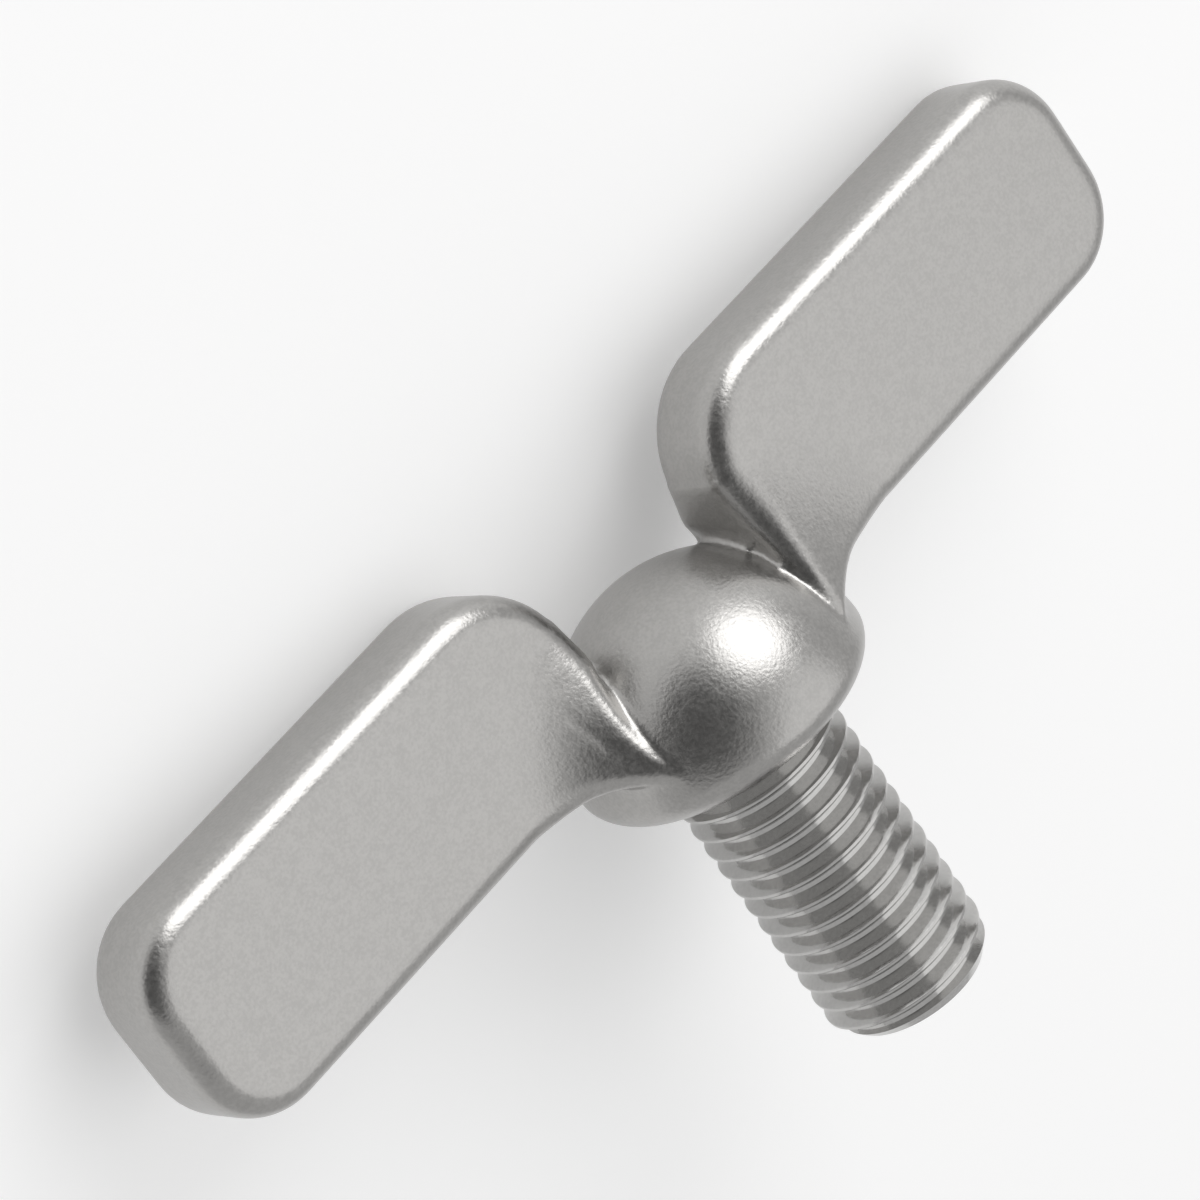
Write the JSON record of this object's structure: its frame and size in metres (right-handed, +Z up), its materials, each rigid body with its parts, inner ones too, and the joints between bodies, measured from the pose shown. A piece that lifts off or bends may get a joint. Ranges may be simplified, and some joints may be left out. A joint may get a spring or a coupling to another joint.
{
  "type": "wing screw",
  "caption": "Wing screw forged in one piece: flat paddle wings on a domed hub over a fully threaded shank, turned by hand.",
  "frame": {"origin": "centre of the bounding box, on the floor the screw lies on", "axes": "+X along the spread of the wings, +Z up from the floor; the threaded shank points towards -Y and slopes up, the dome towards +Y and down"},
  "size_m": [0.0574, 0.028, 0.0158],
  "materials": {
    "steel": "fine matte blasted stainless head, bright rolled thread"
  },
  "bodies": {
    "root": {"wing_screw": "steel"}
  },
  "joints": []
}
